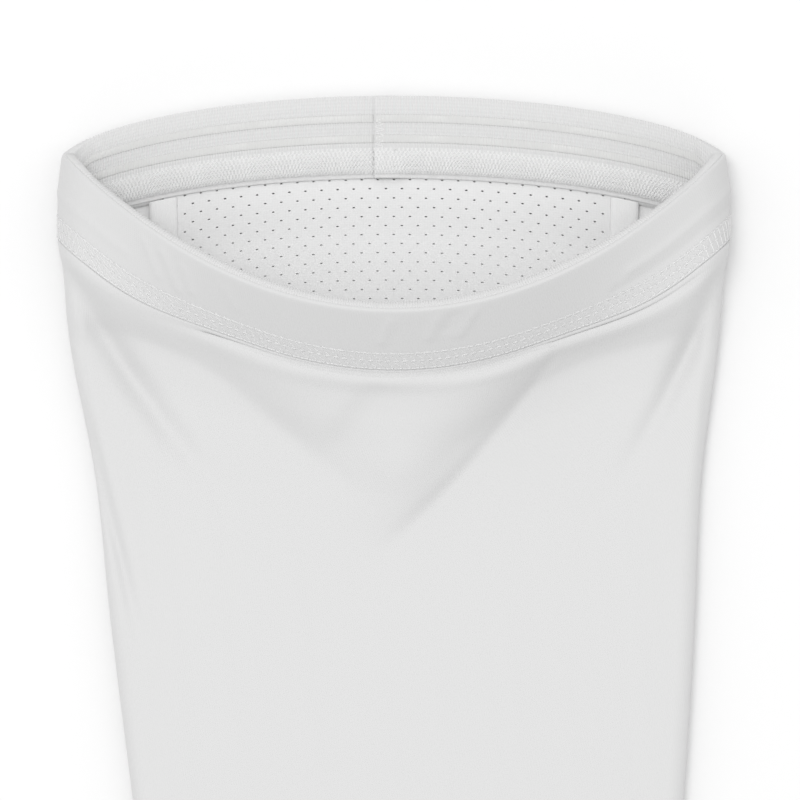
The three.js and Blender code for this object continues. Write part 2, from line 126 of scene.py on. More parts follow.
# A fold's points are shares of the half mouth width across and of the length down. The cloth falls
# to it from its left side, or from its right where rise is negative: rise is its height there, fall
# the way over which it drops, reach how far back it began to rise, and soft the rounding of its foot.
# groove and width are those of its line. grow and die are the shares over which it comes and goes.
FOLD_COLUMNS = ("start", "by", "end", "rise", "fall", "reach", "soft", "groove", "width", "grow", "die")
FOLD_ROWS = [
    ((-0.1, 0.352), (0.235, 0.272), (0.5, 0.185), 0.0074, 0.0056, 0.020, 0.0014, 0.0006, 0.0012, 0.36, 0.05),
    ((-0.7, 0.2), (-0.36, 0.285), (-0.02, 0.338), 0.0020, 0.012, 0.022, 0.0140, 0.0, 0.0012, 0.4, 0.3),
    ((-0.69, 0.15), (-0.45, 0.218), (-0.19, 0.274), 0.0034, 0.008, 0.020, 0.0022, 0.0, 0.0012, 0.2, 0.15),
    ((-0.99, 0.12), (-0.765, 0.22), (-0.43, 0.32), 0.0012, 0.006, 0.016, 0.0020, 0.0034, 0.0033, 0.05, 0.6),
    ((-0.985, 0.2), (-0.862, 0.31), (-0.745, 0.43), 0.0004, 0.003, 0.006, 0.0012, 0.0024, 0.0018, 0.3, 0.5),
    ((0.985, 0.12), (0.85, 0.21), (0.62, 0.31), -0.0034, 0.0042, 0.012, 0.0016, 0.0030, 0.0027, 0.1, 0.7),
    ((0.965, 0.19), (0.948, 0.26), (0.925, 0.37), 0.0, 0.0015, 0.004, 0.0012, 0.0017, 0.0015, 0.4, 0.4),
]
SWAGS = [dict(zip(FOLD_COLUMNS, row)) for row in FOLD_ROWS]
SWAG_STEPS = 12
# faint waves along the cloth where it lies flat: the pitch, height and phase of each
WAVES = [(0.0105, 0.00004, 0.4), (0.0063, 0.00003, 1.9), (0.0171, 0.00006, 3.1)]
WAVE_LEAN = 0.12
# turns round the tube: it starts and ends at the back's middle, and passes these four corners
BACK_MIDDLE = 2.5
LEFT_BACK, LEFT_FRONT, RIGHT_FRONT, RIGHT_BACK = 3, 4, 5, 6
ONCE_ROUND = 4


def mix(a, b, share):
    return a + (b - a) * share


def ease(share):
    t = np.clip(share, 0, 1)
    return t * t * (3 - 2 * t)


def look_up(table, along, at, column):
    """Values of a table's column on a smooth curve through its rows."""
    places, values = np.array(table[along]), np.array(table[column])
    slopes = np.empty_like(values)
    slopes[1:-1] = (values[2:] - values[:-2]) / (places[2:] - places[:-2])
    slopes[0] = (values[1] - values[0]) / (places[1] - places[0])
    slopes[-1] = (values[-1] - values[-2]) / (places[-1] - places[-2])
    at = np.clip(at, places[0], places[-1])
    row = np.clip(np.searchsorted(places, at, side="right") - 1, 0, len(places) - 2)
    span = places[row + 1] - places[row]
    t = (at - places[row]) / span
    rising = t * t * (3 - 2 * t)
    bends = slopes[row] * span * (t**3 - 2 * t**2 + t) + slopes[row + 1] * span * (t**3 - t**2)
    return mix(values[row], values[row + 1], rising) + bends


def half_width(down):
    full = mix(ANKLE_WIDTH, MOUTH_WIDTH, look_up(TAPER, "down", down / TUBE, "width")) / 2
    return full - (MOUTH_WIDTH - RIM_WIDTH) / 2 * (np.clip(down / RIM_SPREAD, 0, 1) - 1) ** 2


def half_height(down):
    return mix(RIM_SIDE_HEIGHT, BODY_HEIGHT, ease((down - SLOPE_DEPTH) / SETTLE)) / 2


def back_turn(x, down):
    """The turn of a place on the back, x to the side of the sleeve's axis."""
    return BACK_MIDDLE - x / (2 * (half_width(down) - half_height(down)))


def back_x(turn, down):
    """How far to the side of the sleeve's axis a turn on the back lies."""
    return (BACK_MIDDLE - turn) * 2 * (half_width(down) - half_height(down))


def flattened(turn, width, height):
    """Section of a flattened tube: 0 to 1 over the front, 1 to 2 down the right, 2 to 3 the back."""
    lap = np.mod(turn, ONCE_ROUND)
    stretch = np.minimum(np.floor(lap), ONCE_ROUND - 1)
    share = lap - stretch
    flat, angle = width - height, math.pi * share
    bulge, level = height * np.sin(angle), height * np.cos(angle)
    part = stretch.astype(int)
    x = np.choose(part, [flat * (2 * share - 1), flat + bulge, flat * (1 - 2 * share), -flat - bulge])
    z = np.choose(part, [2 * height + 0 * share, height + level, 0 * share, height - level])
    return x, z


def hem_point(turn, down):
    """The edge of the mouth, continued down the slope of the hem."""
    width, height = half_width(down), RIM_SIDE_HEIGHT / 2 + 0 * down
    x, z = flattened(turn, width, height)
    rounding = np.maximum(0, 1 - (x / width) ** 2)
    front = z > height
    tilt = HEM_TILT * ease(rounding / CORNER_RUN) * front
    rim = np.where(front, -RIM_DIP * rounding**DIP_POWER, RIM_BOW * rounding**BOW_POWER)
    arch = (MOUTH_HEIGHT - RIM_SIDE_HEIGHT) * rounding**ARCH_POWER * front
    return x, CORNER_Y + rim - down * np.cos(tilt), z + arch - down * np.sin(tilt)


def swag_height(swag, x, y):
    """Height that one fold adds, from the distance to its line."""
    ends = [
        np.array([swag[key][0] * MOUTH_WIDTH / 2, whole_high[1] - swag[key][1] * LENGTH])
        for key in ("start", "by", "end")
    ]
    control = 2 * ends[1] - (ends[0] + ends[2]) / 2
    share = np.linspace(0, 1, SWAG_STEPS + 1)[:, None]
    line = (1 - share) ** 2 * ends[0] + 2 * share * (1 - share) * control + share**2 * ends[2]
    nearest = np.full(x.shape, np.inf)
    along, side = np.zeros(x.shape), np.ones(x.shape)
    for i in range(SWAG_STEPS):
        edge = line[i + 1] - line[i]
        away_x, away_y = x - line[i][0], y - line[i][1]
        t = np.clip((away_x * edge[0] + away_y * edge[1]) / (edge @ edge), 0, 1)
        distance = np.hypot(away_x - t * edge[0], away_y - t * edge[1])
        closer = distance < nearest
        nearest = np.where(closer, distance, nearest)
        along = np.where(closer, (i + t) / SWAG_STEPS, along)
        side = np.where(closer, np.sign(edge[0] * away_y - edge[1] * away_x), side)
    inside = nearest * side * (1 if swag["rise"] >= 0 else -1)
    inside = (inside + np.hypot(inside, swag["soft"])) / 2
    shown = ease(along / swag["grow"]) * ease((1 - along) / swag["die"])
    fallen, faded = np.exp(-inside / swag["fall"]), np.exp(-((inside / swag["reach"]) ** 2))
    groove = swag["groove"] * np.exp(-((nearest / swag["width"]) ** 2))
    return shown * (abs(swag["rise"]) * (1 - fallen) * faded - groove)


def waves(x, y):
    """Height of the faint waves."""
    place = 2 * math.pi * (x + WAVE_LEAN * y)
    return sum(height * np.sin(place / pitch + phase) for pitch, height, phase in WAVES)


def lift(down):
    """The hems are thicker than the panels, which come down to the surface between them."""
    from_mouth = ease((down - HEM_DEPTH) / LIFT_RUN)
    from_ankle = ease((TUBE - ANKLE_HEM_DEPTH - down) / LIFT_RUN)
    return HEM_OUT * (1 - np.minimum(from_mouth, from_ankle))


def sleeve(turn, down):
    """Points of the tube's outer face: turn round it, down along the cloth from the rim."""
    turn, down = np.broadcast_arrays(np.asarray(turn, float), np.asarray(down, float))
    hem = np.stack(hem_point(turn, np.minimum(down, SLOPE_DEPTH)), -1)
    share = np.maximum(0, (down - SLOPE_DEPTH) / (TUBE - SLOPE_DEPTH))
    width, height = half_width(down), half_height(down)
    x, z = flattened(turn, width, height)
    front = np.clip(z / height - 1, 0, 1)
    across = np.where(front > 0, x / width, 1)
    x = x + AXIS_DRIFT * look_up(TAPER, "down", down / TUBE, "drift")
    y = mix(hem[..., 1], ANKLE_Y, share)
    gone = 1 - (hem[..., 1] - y) / (SETTLE * look_up(DRAPE, "across", across, "run"))
    hanging = (gone + np.hypot(gone, KNEE)) / (1 + math.hypot(1, KNEE))
    past_slope = down - SLOPE_DEPTH
    crest = np.exp(-((past_slope / ROLL_WIDTH - ROLL_PLACE) ** 2)) * ease(past_slope / ROLL_START)
    roll = ROLL_HEIGHT * look_up(DRAPE, "across", across, "roll") * crest
    folds = sum(swag_height(swag, x, y) for swag in SWAGS) * ease(past_slope / FOLD_START)
    calm = ease(-gone / CALM_RUN)
    z = mix(z, hem[..., 2], hanging) + front * (roll + folds + calm * waves(x, y))
    body = np.stack([x, y, z], -1)
    points = np.where((down <= SLOPE_DEPTH)[..., None], hem, body)
    points[..., 2] += lift(down)
    return points


TURN_STEP = 0.003
DOWN_STEP = 0.00012
UV_SCALE = 10


def outward(turn, down):
    """Directions that face out of the tube."""
    turn, down = np.broadcast_arrays(np.asarray(turn, float), np.asarray(down, float))
    at = np.where(down <= SLOPE_DEPTH, np.minimum(down, SLOPE_DEPTH - DOWN_STEP), down)
    round_it = sleeve(turn + TURN_STEP, at) - sleeve(turn - TURN_STEP, at)
    along = sleeve(turn, at + DOWN_STEP) - sleeve(turn, at - DOWN_STEP)
    normal = np.cross(along, round_it)
    return normal / np.linalg.norm(normal, axis=-1, keepdims=True)


def object_from(name, points, faces, material, lengths=None):
    """A smooth mesh object. lengths are each point's distances round and along, kept as its UV."""
    mesh = bpy.data.meshes.new(name)
    mesh.from_pydata(points.reshape(-1, 3).tolist(), [], faces)
    mesh.polygons.foreach_set("use_smooth", [True] * len(mesh.polygons))
    if lengths is not None:
        layer = mesh.uv_layers.new(name="cloth")
        corners = np.empty(len(mesh.loops), dtype=np.int64)
        mesh.loops.foreach_get("vertex_index", corners)
        layer.data.foreach_set("uv", (lengths.reshape(-1, 2)[corners] * UV_SCALE).ravel())
    mesh.update()
    mesh.materials.append(material)
    made = bpy.data.objects.new(name, mesh)
    bpy.context.collection.objects.link(made)
    return made


def band(name, turns, downs, out, inside, material, ring=False, lining=None, round_it=None):
    """A closed layer of cloth. turns has a row for each length down; out and inside are offsets. The
    inner face may have a lining of another finish. round_it holds lengths round that aren't measured."""
    turns = np.broadcast_to(turns, (len(downs), np.shape(turns)[-1]))
    downs = np.broadcast_to(np.reshape(downs, (len(downs), -1)), turns.shape)
    base, normal = sleeve(turns, downs), outward(turns, downs)
    rows, columns = turns.shape
    layers = np.stack([base + normal * np.broadcast_to(o, turns.shape)[..., None] for o in (out, inside)])
    if round_it is None:
        steps = np.linalg.norm(np.diff(base, axis=1), axis=-1)
        round_it = np.concatenate([np.zeros((rows, 1)), np.cumsum(steps, 1)], 1)
    round_it = np.broadcast_to(round_it, turns.shape)
    lengths = np.broadcast_to(np.stack([round_it, downs], -1), (2, rows, columns, 2))
    number = np.arange(2 * rows * columns).reshape(2, rows, columns)
    if ring:
        number = np.concatenate([number, number[:, :, :1]], 2)
    outer, inner = number

    def quads(a, b, c, d):
        return np.stack([a.ravel(), b.ravel(), c.ravel(), d.ravel()], 1).tolist()

    faces = quads(outer[:-1, :-1], outer[1:, :-1], outer[1:, 1:], outer[:-1, 1:])
    faces += quads(inner[:-1, :-1], inner[:-1, 1:], inner[1:, 1:], inner[1:, :-1])
    faces += quads(outer[0, :-1], outer[0, 1:], inner[0, 1:], inner[0, :-1])
    faces += quads(outer[-1, :-1], inner[-1, :-1], inner[-1, 1:], outer[-1, 1:])
    if not ring:
        faces += quads(outer[:-1, 0], inner[:-1, 0], inner[1:, 0], outer[1:, 0])
        faces += quads(outer[:-1, -1], outer[1:, -1], inner[1:, -1], inner[:-1, -1])
    made = object_from(name, layers, faces, material, lengths)
    if lining:
        made.data.materials.append(lining)
        layer_faces = outer[:-1, :-1].size
        for polygon in made.data.polygons[layer_faces : 2 * layer_faces]:
            polygon.material_index = 1
    return made


def crowded(start, end, count, crowding=0.6):
    """Places between two turns, closer together near both."""
    share = np.linspace(0, 1, count + 1)
    return mix(start, end, mix(share, 0.5 - 0.5 * np.cos(math.pi * share), crowding))


def over_front(side_columns, front_columns):
    """Turns from the left side fold over the front to the right one's foot, short of the last."""
    return [
        crowded(LEFT_BACK, LEFT_FRONT, side_columns)[:-1],
        crowded(LEFT_FRONT, RIGHT_FRONT, front_columns)[:-1],
        crowded(RIGHT_FRONT, RIGHT_BACK, side_columns)[:-1],
    ]


def whole_round(back_columns, side_columns, front_columns):
    """Turns once round the tube from the back's middle."""
    return np.concatenate([
        np.linspace(BACK_MIDDLE, LEFT_BACK, back_columns + 1)[:-1],
        *over_front(side_columns, front_columns),
        np.linspace(RIGHT_BACK, BACK_MIDDLE + ONCE_ROUND, back_columns + 1)[:-1],
    ])


class Socket:
    """An output of a material's nodes. Sums on it add Math nodes."""

    def __init__(self, tree, output=None):
        self.tree = tree
        self.output = output

    def node(self, kind, settings=None, sockets=None, output=0):
        made = self.tree.nodes.new(kind)
        for key, setting in (settings or {}).items():
            if key == "stops":
                for stop, (place, colour) in zip(made.color_ramp.elements, setting):
                    stop.position, stop.color = place, colour
            else:
                setattr(made, key, setting)
        for key, value in (sockets or {}).items():
            if isinstance(value, Socket):
                self.tree.links.new(value.output, made.inputs[key])
            else:
                made.inputs[key].default_value = value
        return Socket(self.tree, made.outputs[output])

    def maths(self, operation, *terms):
        return self.node("ShaderNodeMath", {"operation": operation}, dict(enumerate(terms)))

    def __add__(self, other):
        return self.maths("ADD", self, other)

    def __radd__(self, other):
        return self.maths("ADD", other, self)

    def __sub__(self, other):
        return self.maths("SUBTRACT", self, other)

    def __rsub__(self, other):
        return self.maths("SUBTRACT", other, self)

    def __mul__(self, other):
        return self.maths("MULTIPLY", self, other)

    def __rmul__(self, other):
        return self.maths("MULTIPLY", other, self)

    def wave(self, pitch):
        """A wave from 0 to 1 and back over each pitch of this length."""
        return self.maths("SINE", self * (2 * math.pi / pitch)) * 0.5 + 0.5


SHEEN_ROUGHNESS = 0.5
CLOTH_SPECULAR = 0.3
# painted shade in a finish's grooves: the share of its colour left where it is deepest, and how deep it goes
# in a finish without a shade of its own
GROOVE_SHADE_SHARE = 0.8
PLAIN_SHADE = 0.12
# places of sockets that share a name on their node
MIX_FIRST, MIX_SECOND, MIX_RESULT = 6, 7, 2
OBJECT_PLACES = 3


def cloth_material(name, colour, roughness, relief, relief_depth, sheen=0.0, shade=None):
    """A woven or knitted finish. relief(start) gives the height of the surface, from 0 to 1, and
    shade(height) how far the colour is darkened at that height, a painted shade in the relief's low parts."""
    material = bpy.data.materials.new(name)
    material.use_nodes = True
    tree = material.node_tree
    surface = tree.nodes["Principled BSDF"]
    surface.inputs["Roughness"].default_value = roughness
    surface.inputs["Sheen Weight"].default_value = sheen
    surface.inputs["Sheen Roughness"].default_value = SHEEN_ROUGHNESS
    surface.inputs["Specular IOR Level"].default_value = CLOTH_SPECULAR
    start = Socket(tree)
    height = relief(start)
    bump = start.node("ShaderNodeBump", {}, {"Strength": 1.0, "Distance": relief_depth, "Height": height})
    tree.links.new(bump.output, surface.inputs["Normal"])
    # painted shade: the colour darkens in the relief's low parts, between stitches, mesh courses and thread
    # twists; where a relief holds random mottle, that share is the cloth's own uneven tone
    groove_shade_colour = tuple(part * GROOVE_SHADE_SHARE for part in colour[:3]) + (1,)
    amount = shade(height) if shade else (1 - height) * PLAIN_SHADE
    tint = start.node(
        "ShaderNodeMix",
        {"data_type": "RGBA"},
        {"Factor": amount, MIX_FIRST: colour, MIX_SECOND: groove_shade_colour},
        output=MIX_RESULT,
    )
    tree.links.new(tint.output, surface.inputs["Base Color"])
    return material


def round_and_along(start):
    """The two lengths of the cloth at a point, in metres, as sockets."""
    uv = start.node("ShaderNodeUVMap", {"uv_map": "cloth"})
    split = start.node("ShaderNodeSeparateXYZ", {}, {"Vector": uv})
    along = Socket(start.tree, split.output.node.outputs[1])
    return split * (1 / UV_SCALE), along * (1 / UV_SCALE)


def speckle(start, scale, detail):
    """Three-dimensional noise over the object, from 0 to 1."""
    places = start.node("ShaderNodeTexCoord", {}, {}, output=OBJECT_PLACES)
    return start.node("ShaderNodeTexNoise", {}, {"Vector": places, "Scale": scale, "Detail": detail})


CLOTH_ROUGHNESS = 0.85
WALE_PITCH = 0.00062
COURSE_PITCH = 0.0005
COURSE_BOW = 0.4
MOTTLE_SCALE = 900.0
KNIT_DEPTH = 0.00006
REVERSE_DEPTH = 0.00004
KNIT_SHEEN = 0.15
SHELL_WHITE = (0.635, 0.635, 0.635, 1)
REVERSE_WHITE = (0.76, 0.76, 0.76, 1)
HEM_WHITE = (0.615, 0.615, 0.615, 1)


def knit_relief(start):
    across, along = round_and_along(start)
    wales = across.wave(WALE_PITCH)
    courses = (along + across.wave(WALE_PITCH) * (COURSE_BOW * COURSE_PITCH)).wave(COURSE_PITCH)
    return wales * 0.5 + courses * 0.25 + speckle(start, MOTTLE_SCALE, 2.0) * 0.25


def knit_material(name, colour, depth):
    return cloth_material(name, colour, CLOTH_ROUGHNESS, knit_relief, depth, sheen=KNIT_SHEEN)


shell_knit = knit_material("shell_knit_cloth", SHELL_WHITE, KNIT_DEPTH)
shell_doubled = knit_material("shell_knit_doubled", HEM_WHITE, KNIT_DEPTH)
shell_reverse = knit_material("shell_knit_reverse", REVERSE_WHITE, REVERSE_DEPTH)

FRONT_COLUMNS, SIDE_COLUMNS, WRAP_COLUMNS = 150, 16, 8
FRONT_ROWS = 170
ROW_CROWDING = 0.6
ROW_POWER = 2.2
PLY_STEP = 0.0001
CUT_STEPS = 60
FLUSH = 0.00128
FLUSH_RUN = 0.006
panel_top = HEM_DEPTH - HEM_LAP + GAP
panel_end = TUBE - ANKLE_HEM_DEPTH + HEM_LAP - GAP
share = np.linspace(0, 1, FRONT_ROWS)
share = (1 - ROW_CROWDING) * share + ROW_CROWDING * share**ROW_POWER
panel_downs = np.concatenate([[panel_top, HEM_DEPTH], mix(HEM_DEPTH + PLY_STEP, panel_end, share)])


def seam_turn(side, down):
    """Where the front panel's edge lies on the back, on the right or the left."""
    return back_turn(side * (SEAM_SHARE * half_width(down) + GAP / 2), down)


left_edge, right_edge = seam_turn(-1, panel_downs), seam_turn(1, panel_downs) + ONCE_ROUND
left_wrap = np.linspace(left_edge, LEFT_BACK, WRAP_COLUMNS + 1, axis=1)[:, :-1]
right_wrap = np.linspace(RIGHT_BACK, right_edge, WRAP_COLUMNS + 1, axis=1)
over = np.concatenate(over_front(SIDE_COLUMNS, FRONT_COLUMNS))
over = np.broadcast_to(over, (len(panel_downs), len(over)))
front_turns = np.concatenate([left_wrap, over, right_wrap], 1)
past_hem = panel_downs - HEM_DEPTH
swell = (FLUSH * (past_hem > 0) * np.exp(-((past_hem / FLUSH_RUN) ** 2)))[:, None]
front = band(
    "front_panel_knit", front_turns, panel_downs, swell, swell - CLOTH, shell_knit, lining=shell_reverse
)
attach(front, "root")
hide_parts("front_panel")


def cut_area(widths, downs):
    """Area of a panel as it is cut, from its width at each length down."""
    return float(np.sum((widths[1:] + widths[:-1]) / 2 * np.diff(downs)))


cut_downs = np.linspace(panel_top, panel_end, CUT_STEPS)
cut_height = half_height(cut_downs)
flat_round = 4 * (half_width(cut_downs) - cut_height) + 2 * math.pi * cut_height
mesh_widths = 2 * SEAM_SHARE * half_width(cut_downs)
front_widths = flat_round - mesh_widths
cut_length = panel_end - panel_top
cut_area(front_widths, cut_downs)

# Mesh panel: the middle of the back, a warp-knitted mesh with staggered pinholes for air. It lies
# flat on the surface, and its side edges are sewn to the front panel.
HOLE_PITCH = 0.00397
HOLE_ROW = 0.00215
HOLE_SIZE = (0.00034, 0.00017)
SEAM_MARGIN = 0.001
WALES_PER_HOLE = 6
COURSES_PER_HOLE = 4
MESH_DEPTH = 0.00001
MESH_WHITE = (0.74, 0.74, 0.74, 1)


def mesh_relief(start):
    across, along = round_and_along(start)
    wales = across.wave(HOLE_PITCH / WALES_PER_HOLE)
    courses = along.wave(HOLE_ROW / COURSES_PER_HOLE)
    return wales * 0.4 + courses * 0.6


mesh_knit = cloth_material(
    "mesh_knit_cloth", MESH_WHITE, CLOTH_ROUGHNESS, mesh_relief, MESH_DEPTH, sheen=0.1
)

# the eight points of a cell's outline and of its hole, east and north of the cell's middle
COMPASS = [(1, 0), (1, 1), (0, 1), (-1, 1), (-1, 0), (-1, -1), (0, -1), (1, -1)]


def mesh_panel():
    """Cells with a hole each, in staggered rows, and plain strips along the two seams."""
    rows = int((panel_end - panel_top) / HOLE_ROW)
    row_height = (panel_end - panel_top) / rows
    places, faces = [], []

    def add(points):
        places.extend(points)
        return list(range(len(places) - len(points), len(places)))

    for row in range(rows):
        middle = panel_top + (row + 0.5) * row_height
        ends = [middle - row_height / 2, middle, middle + row_height / 2]
        edges = [SEAM_SHARE * half_width(np.array(d)) - GAP / 2 for d in ends]
        shift = 0.5 * (row % 2)
        reach = int((min(edges) - SEAM_MARGIN) / HOLE_PITCH - 0.5 - shift)
        cells = [i + shift for i in range(-reach - row % 2, reach + 1)]
        for cell in cells:
            outline, hole = [], []
            for east, north in COMPASS:
                size = math.hypot(east, north)
                outline.append(((cell + east / 2) * HOLE_PITCH, middle + north * row_height / 2))
                hole_x = cell * HOLE_PITCH + HOLE_SIZE[0] * east / size
                hole.append((hole_x, middle + HOLE_SIZE[1] * north / size))
            outer, inner = add(outline), add(hole)
            for i in range(len(COMPASS)):
                j = (i + 1) % len(COMPASS)
                faces.append(("cell", outer[i], outer[j], inner[j], inner[i]))
                faces.append(("wall", inner[i], inner[j]))
        for side, last in ((-1, cells[0] - 0.5), (1, cells[-1] + 0.5)):
            near = add([(last * HOLE_PITCH, d) for d in ends])
            far = add([(side * edge, d) for edge, d in zip(edges, ends)])
            for i in range(2):
                quad = (near[i], far[i], far[i + 1], near[i + 1])
                faces.append(("cell", *(quad if side > 0 else quad[::-1])))
    keys, back = np.unique(np.round(np.array(places), 7), axis=0, return_inverse=True)
    back = back.reshape(-1)
    x, down = keys[:, 0], keys[:, 1]
    turn = back_turn(x, down)
    base, normal = sleeve(turn, down), outward(turn, down)
    points = np.concatenate([base, base - normal * CLOTH])
    lengths = np.concatenate([keys, keys])
    count = len(keys)
    polygons = []
    for kind, *corners in faces:
        corners = [int(back[c]) for c in corners]
        if kind == "cell":
            polygons.append(corners)
            polygons.append([c + count for c in reversed(corners)])
        else:
            a, b = corners
            polygons.append([a, b, b + count, a + count])
    made = object_from("mesh_panel_pinholes", points, polygons, mesh_knit, lengths)
    made.data.polygons.foreach_set("use_smooth", [False] * len(polygons))
    return made


mesh_back = mesh_panel()
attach(mesh_back, "root")
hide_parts("mesh_panel")
cut_area(mesh_widths, cut_downs)

# Side seams: the joined edges of the two panels, pressed flat inside the sleeve and overlocked. They
# run from the elastic to the ankle hem.
SEAM_WIDTH = 0.007
SEAM_THICKNESS = 0.0006
SEAM_THINNED = 0.9
SEAM_SQUARENESS = 4
SEAM_ROWS, SEAM_COLUMNS = 90, 11
SEAM_CROWDING = 1.6
ELASTIC_WIDTH = 0.0203
elastic_end = ELASTIC_WIDTH - ELASTIC_PROUD
seam_run = np.linspace(0, 1, SEAM_ROWS) ** SEAM_CROWDING
seam_downs = mix(elastic_end + GAP, TUBE - ANKLE_HEM_DEPTH - GAP, seam_run)
seam_shares = np.linspace(-0.5, 0.5, SEAM_COLUMNS)
seam_thinned = SEAM_THINNED * (2 * np.abs(seam_shares)) ** SEAM_SQUARENESS * SEAM_THICKNESS
for name, side in (("side_seam_left", -1), ("side_seam_right", 1)):
    place = seam_downs[:, None]
    turns = back_turn(side * SEAM_SHARE * half_width(place) - seam_shares * SEAM_WIDTH, place)
    inner_face = -CLOTH - SEAM_THICKNESS + seam_thinned + 0 * turns
    seam = band(name + "_strip", turns, seam_downs, -CLOTH, inner_face, shell_reverse)
    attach(seam, "root")
    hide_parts(name)

# Top hem: the shell's knit turned over at the mouth, two layers down to the panels and one lapped
# over them. Three needle rows hold it, and it puckers a little between the elastic and the stitches.
NEEDLE_DOWNS = (0.0140, 0.0166, 0.0193)
NEEDLE_GROOVE = 0.00004
GROOVE_WIDTH = 0.00045
# creases from one place to another, each a share of the half mouth width across and metres down
CREASES = [
    {"from": (-0.01, 0.0025), "to": (-0.035, 0.010), "height": 0.35, "width": 0.0011},
    {"from": (0.13, 0.0015), "to": (0.105, 0.009), "height": 0.4, "width": 0.0012},
    {"from": (0.24, 0.0015), "to": (0.195, 0.009), "height": 0.4, "width": 0.0012},
    {"from": (0.175, 0.0015), "to": (0.155, 0.007), "height": -0.35, "width": 0.001},
    {"from": (-0.735, 0.003), "to": (-0.7, 0.010), "height": 0.3, "width": 0.0011},
    {"from": (-0.68, 0.003), "to": (-0.64, 0.011), "height": 0.35, "width": 0.0012},
    {"from": (-0.62, 0.004), "to": (-0.6, 0.010), "height": 0.3, "width": 0.0011},
    {"from": (-0.5, 0.004), "to": (-0.47, 0.009), "height": 0.2, "width": 0.0012},
    {"from": (1.02, 0.0075), "to": (0.7, 0.0085), "height": 0.4, "width": 0.0013},
    {"from": (1.02, 0.0115), "to": (0.66, 0.0125), "height": -0.35, "width": 0.0014},
    {"from": (-1.02, 0.0085), "to": (-0.8, 0.009), "height": 0.25, "width": 0.0014},
]
CREASE_HEIGHT = 0.0009
CREASE_START = 0.003
# the turned edge of a hem: down and inside are shares of CLOTH, out is one of HEM_OUT
TURNED_EDGE = {
    "down": [-0.8, -0.75, -0.6, -0.2, 0.8, 2.0],
    "out": [0.55, 0.75, 0.9, 0.97, 1.0, 1.0],
    "inside": [0.1, -0.1, -0.2, -0.3, -0.6, -1.0],
}
# the hem's last rows: how far short of its depth they lie, and the share of HEM_OUT that they keep
LAST_ROWS = {"short": [0.00015, 0.0001, 0.0], "out": [0.985, 0.95, 0.87]}
PLAIN_ROWS, LAP_ROWS = 17, 21
HEM_COLUMNS = {"back_columns": 60, "side_columns": 30, "front_columns": 240}


def hem_face(turns, downs):
    """Small forms of the hem's outer face: grooves under the needle rows, and creases in its front."""
    points = sleeve(turns, downs)
    x, in_front = points[..., 0], points[..., 2] > RIM_SIDE_HEIGHT / 2
    form = -NEEDLE_GROOVE * sum(np.exp(-(((downs - row) / GROOVE_WIDTH) ** 2)) for row in NEEDLE_DOWNS)
    for crease in CREASES:
        start = np.array([crease["from"][0] * MOUTH_WIDTH / 2, crease["from"][1]])
        edge = np.array([crease["to"][0] * MOUTH_WIDTH / 2, crease["to"][1]]) - start
        t = ((x - start[0]) * edge[0] + (downs - start[1]) * edge[1]) / (edge @ edge)
        nearest = np.clip(t, 0, 1)
        distance = np.hypot(x - start[0] - nearest * edge[0], downs - start[1] - nearest * edge[1])
        bump = np.exp(-((distance / crease["width"]) ** 2)) * in_front
        form = form + crease["height"] * CREASE_HEIGHT * bump
    return form * ease(downs / CREASE_START)


under = HEM_DEPTH - HEM_LAP
nose = np.array(TURNED_EDGE["down"]) * CLOTH
nose_out = np.array(TURNED_EDGE["out"]) * HEM_OUT
nose_in = np.array(TURNED_EDGE["inside"]) * CLOTH
plain_downs = np.linspace(nose[-1], under - PLY_STEP, PLAIN_ROWS + 1)[1:]
lap_downs = np.linspace(under, HEM_DEPTH, LAP_ROWS + 1)[:-1]
last_downs = HEM_DEPTH - np.array(LAST_ROWS["short"])
last_out = HEM_OUT * np.array(LAST_ROWS["out"])
hem_downs = np.concatenate([nose, plain_downs, lap_downs, last_downs])
hem_out = np.concatenate([nose_out, np.full(PLAIN_ROWS + LAP_ROWS, HEM_OUT), last_out])[:, None]
hem_in = np.concatenate([nose_in, np.full(PLAIN_ROWS, -CLOTH), np.full(LAP_ROWS + len(last_out), GAP)])
hem_turns = whole_round(**HEM_COLUMNS)
hem_form = hem_face(*np.broadcast_arrays(hem_turns, hem_downs[:, None]))
top_hem = band(
    "top_hem_turning", hem_turns, hem_downs, hem_out + hem_form, hem_in[:, None], shell_doubled, ring=True
)
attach(top_hem, "root")
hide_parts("top_hem")

# Grip band: a woven elastic tape with fine ribs across it, sewn inside the hem and just proud of its
# fold. Its ends are lapped and tacked together a little left of the middle of the back.
ELASTIC_THICKNESS = 0.0015
ELASTIC_OVERLAP = 0.0042
JOIN_X = -0.0027
LAP_RAMP = 0.005
RIB_PITCH = 0.00066
RIB_HEIGHT = 0.00026
RIBBED_TO = 0.0118
EDGE_TAPER = 0.0025
PRESSED = 0.6
EDGE_SINK = 0.00025
EDGE_THINNED = 0.0009
SAMPLES_PER_RIB = 4
EDGE_THINNING = 0.85
JOIN_REACH = 0.1
EVEN_SAMPLES = 6001
MEASURED_AT = 0.006
ELASTIC_WHITE = (0.70, 0.70, 0.70, 1)
elastic_out = -CLOTH - GAP
elastic_in = elastic_out - ELASTIC_THICKNESS
join_right, join_left = JOIN_X + ELASTIC_OVERLAP / 2, JOIN_X - ELASTIC_OVERLAP / 2
ramp_foot = join_right + GAP + LAP_RAMP


def lap_shift(turn, down):
    """How far the elastic's upper end has climbed off the hem, onto the pressed lower end."""
    x = back_x(turn - ONCE_ROUND, down)
    return ELASTIC_THICKNESS * PRESSED * ease((ramp_foot - x) / LAP_RAMP) * (turn > RIGHT_BACK)


